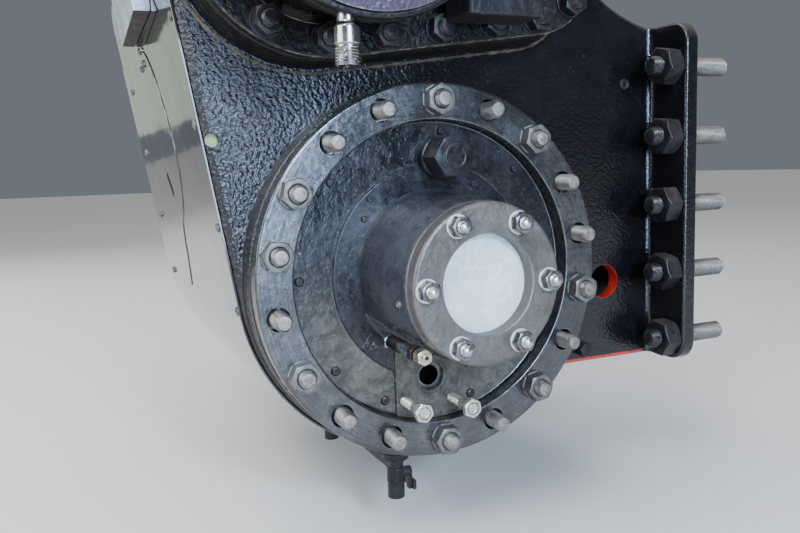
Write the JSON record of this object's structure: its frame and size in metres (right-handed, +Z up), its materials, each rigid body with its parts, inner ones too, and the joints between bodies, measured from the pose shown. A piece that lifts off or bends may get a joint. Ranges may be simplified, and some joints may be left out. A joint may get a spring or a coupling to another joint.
{
  "type": "steam locomotive outside cylinder with piston-valve chest",
  "caption": "Outside cylinder of a steam locomotive: barrel with studded front cover, blanked tail-rod boss, piston-valve chest, cladding, frame flange, sliding piston and valve.",
  "frame": {"origin": "centre of the flat face that bolts to the locomotive's frame", "axes": "+X out of that face towards the frame, -Y towards the front of the locomotive, +Z up"},
  "size_m": [1.1083, 1.884, 1.37],
  "materials": {
    "black_casting": "thick gloss black paint over rough casting",
    "cladding_black": "polished gloss black enamel on sheet",
    "worn_steel": "bare worn steel, brushed, oily",
    "cover_black": "oily black paint, worn",
    "stud_steel": "bare threaded steel, light rust",
    "bright_steel": "bright plated steel",
    "nut_black": "black painted steel",
    "bracket_grey": "weathered grey paint on folded sheet",
    "disc_cream": "pale blanking disc",
    "machined_steel": "machined and oiled",
    "bronze": "gland bronze"
  },
  "bodies": {
    "cylinder": {"cylinder_casting": "black_casting", "valve_chest_casting": "black_casting", "cylinder_cladding": "cladding_black", "cladding_panel": "cladding_black", "step_bracket": "bracket_grey", "front_cover": "worn_steel", "front_cover_plate": "cover_black", "relief_valve_pad": "cover_black", "front_cover_studs": "stud_steel", "front_cover_nuts": "stud_steel", "front_cover_plug": "nut_black", "relief_valve_bolts": "bright_steel", "lubricator_fitting": "nut_black", "tail_boss_ring": "worn_steel", "blanking_disc": "disc_cream", "tail_boss_studs": "bright_steel", "tail_boss_washers": "bright_steel", "tail_boss_nuts": "bright_steel", "rear_cover": "black_casting", "rear_cover_nuts": "nut_black", "piston_rod_gland": "bronze", "gland_nuts": "nut_black", "valve_chest_front_cover": "black_casting", "valve_front_ring": "nut_black", "valve_front_dome": "cover_black", "valve_chest_front_nuts": "nut_black", "drain_stub": "bright_steel", "bypass_valve_box": "nut_black", "valve_chest_rear_cover": "black_casting", "valve_chest_rear_nuts": "nut_black", "valve_spindle_guide": "black_casting", "frame_studs": "nut_black", "frame_nuts": "nut_black", "steam_inlet_flange": "black_casting", "steam_inlet_studs": "stud_steel", "exhaust_flange": "black_casting", "exhaust_studs": "stud_steel", "drain_cocks": "nut_black", "drain_cock_rod": "nut_black"},
    "piston": {"piston": "machined_steel", "piston_rings": "machined_steel", "piston_rod": "machined_steel", "piston_nut": "machined_steel"},
    "valve": {"valve_spindle": "machined_steel", "valve_heads": "machined_steel"}
  },
  "joints": [
    {"name": "piston_stroke", "type": "slide", "parent": "cylinder", "child": "piston", "axis": [0, 1, 0], "range_m": [-0.33, 0.33]},
    {"name": "valve_travel", "type": "slide", "parent": "cylinder", "child": "valve", "axis": [0, 1, 0], "range_m": [-0.07, 0.07]}
  ]
}
